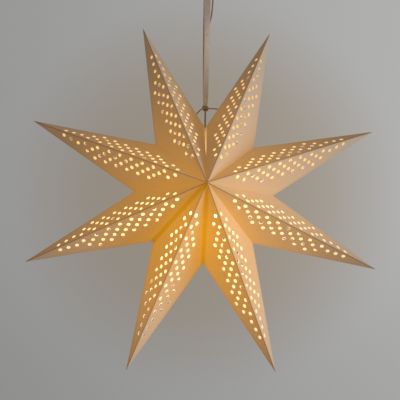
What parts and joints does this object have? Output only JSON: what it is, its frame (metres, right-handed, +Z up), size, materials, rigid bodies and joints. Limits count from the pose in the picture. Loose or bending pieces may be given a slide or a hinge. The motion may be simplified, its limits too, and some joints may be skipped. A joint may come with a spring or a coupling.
{
  "type": "star pendant light",
  "caption": "Folded paper star lampshade with punched round holes, hung by a ribbon and a lead from a ceiling rose, with a lamp holder and lamp inside.",
  "frame": {"origin": "middle of the ceiling face of the rose", "axes": "+Z up, out of the ceiling face; the star hangs at -Z and its front faces -Y; +X is to the right seen from the front"},
  "size_m": [0.5568, 0.1594, 0.6754],
  "materials": {
    "paper": "matt card, warm where the lamp shines through",
    "ribbon": "woven beige ribbon",
    "tie_cord": "thin twisted cord",
    "lead": "soft flexible sheath",
    "rose_plastic": "smooth moulded",
    "steel": "plated",
    "grommet": "soft black",
    "terminal_plastic": "moulded",
    "terminal_brass": "plain",
    "screw_steel": "plated",
    "core": "insulated core",
    "holder_plastic": "smooth moulded",
    "holder_ceramic": "unglazed",
    "lamp_metal": "rolled thread",
    "lamp_insulator": "black",
    "lamp_collar": "smooth moulded",
    "lamp_globe": "opal, lit from inside",
    "board": "circuit board",
    "leds": "phosphor"
  },
  "bodies": {
    "ceiling_rose": {"rose_base": "rose_plastic", "rose_cover": "rose_plastic", "hook": "steel", "hook_lock_nut": "steel", "cover_nut": "rose_plastic", "cable_grommet": "grommet", "terminal_block": "terminal_plastic", "terminal_barrels": "terminal_brass", "terminal_block_screws": "screw_steel", "rose_cores": "core", "lead_entry": "lead"},
    "bight": {"ribbon_bight": "ribbon"},
    "hanger": {"ribbon": "ribbon", "lead_upper": "lead"},
    "star": {"knot": "ribbon", "tie_cord_left": "tie_cord", "stopper_knot_left": "tie_cord", "lead_lower": "lead", "cord_grip": "holder_plastic", "holder_cap": "holder_plastic", "holder_shell": "holder_plastic", "holder_insert": "holder_ceramic", "thread_sleeve": "terminal_brass", "centre_contact": "terminal_brass", "holder_terminal_screws": "screw_steel", "holder_cores": "core", "point_1_sheet_a": "paper", "point_1_sheet_b": "paper"},
    "point_2": {"point_2_sheet_a": "paper", "point_2_sheet_b": "paper"},
    "point_3": {"point_3_sheet_a": "paper", "point_3_sheet_b": "paper"},
    "point_4": {"point_4_sheet_a": "paper", "point_4_sheet_b": "paper"},
    "point_5": {"point_5_sheet_a": "paper", "point_5_sheet_b": "paper"},
    "point_6": {"point_6_sheet_a": "paper", "point_6_sheet_b": "paper"},
    "point_7": {"point_7_sheet_a": "paper", "point_7_sheet_b": "paper"},
    "point_8": {"point_8_sheet_a": "paper", "point_8_sheet_b": "paper", "tie_cord_right": "tie_cord", "stopper_knot_right": "tie_cord"},
    "lamp": {"lamp_cap": "lamp_metal", "lamp_insulator": "lamp_insulator", "lamp_button": "lamp_metal", "lamp_collar": "lamp_collar", "lamp_globe": "lamp_globe", "led_board": "board", "leds": "leds", "driver_board": "board"}
  },
  "joints": [
    {"name": "swing_front_back", "type": "hinge", "parent": "ceiling_rose", "child": "bight", "pos_m": [0, 0, -0.053], "axis": [1, 0, 0], "range_deg": [-30, 30], "deforming": ["lead_entry", "lead_upper"]},
    {"name": "swing_sideways", "type": "hinge", "parent": "bight", "child": "hanger", "pos_m": [0, 0, -0.053], "axis": [0, 1, 0], "range_deg": [-30, 30]},
    {"name": "spin", "type": "hinge", "parent": "hanger", "child": "star", "pos_m": [0, 0, -0.2505], "axis": [0, 0, 1], "range_deg": [-180, 180]},
    {"name": "fan_close", "type": "hinge", "parent": "star", "child": "point_2", "pos_m": [0, 0, -0.398], "axis": [0, 1, 0], "range_deg": [0, 43], "deforming": ["point_1_sheet_a", "point_1_sheet_b", "point_2_sheet_a", "point_2_sheet_b", "point_3_sheet_a", "point_3_sheet_b", "point_4_sheet_a", "point_4_sheet_b", "point_5_sheet_a", "point_5_sheet_b", "point_6_sheet_a", "point_6_sheet_b", "point_7_sheet_a", "point_7_sheet_b", "point_8_sheet_a", "point_8_sheet_b"]},
    {"name": "fan_point_3", "type": "hinge", "parent": "star", "child": "point_3", "pos_m": [0, 0, -0.398], "axis": [0, 1, 0], "range_deg": [0, 86]},
    {"name": "fan_point_4", "type": "hinge", "parent": "star", "child": "point_4", "pos_m": [0, 0, -0.398], "axis": [0, 1, 0], "range_deg": [0, 129]},
    {"name": "fan_point_5", "type": "hinge", "parent": "star", "child": "point_5", "pos_m": [0, 0, -0.398], "axis": [0, 1, 0], "range_deg": [0, 172]},
    {"name": "fan_point_6", "type": "hinge", "parent": "star", "child": "point_6", "pos_m": [0, 0, -0.398], "axis": [0, 1, 0], "range_deg": [0, 215]},
    {"name": "fan_point_7", "type": "hinge", "parent": "star", "child": "point_7", "pos_m": [0, 0, -0.398], "axis": [0, 1, 0], "range_deg": [0, 258]},
    {"name": "fan_point_8", "type": "hinge", "parent": "star", "child": "point_8", "pos_m": [0, 0, -0.398], "axis": [0, 1, 0], "range_deg": [0, 301]},
    {"name": "lamp_out", "type": "slide", "parent": "star", "child": "lamp", "axis": [0, 0, -1], "range_m": [0, 0.03]}
  ],
  "couplings": [
    {"joint": "fan_point_3", "follows": "fan_close", "ratio": 2},
    {"joint": "fan_point_4", "follows": "fan_close", "ratio": 3},
    {"joint": "fan_point_5", "follows": "fan_close", "ratio": 4},
    {"joint": "fan_point_6", "follows": "fan_close", "ratio": 5},
    {"joint": "fan_point_7", "follows": "fan_close", "ratio": 6},
    {"joint": "fan_point_8", "follows": "fan_close", "ratio": 7}
  ]
}
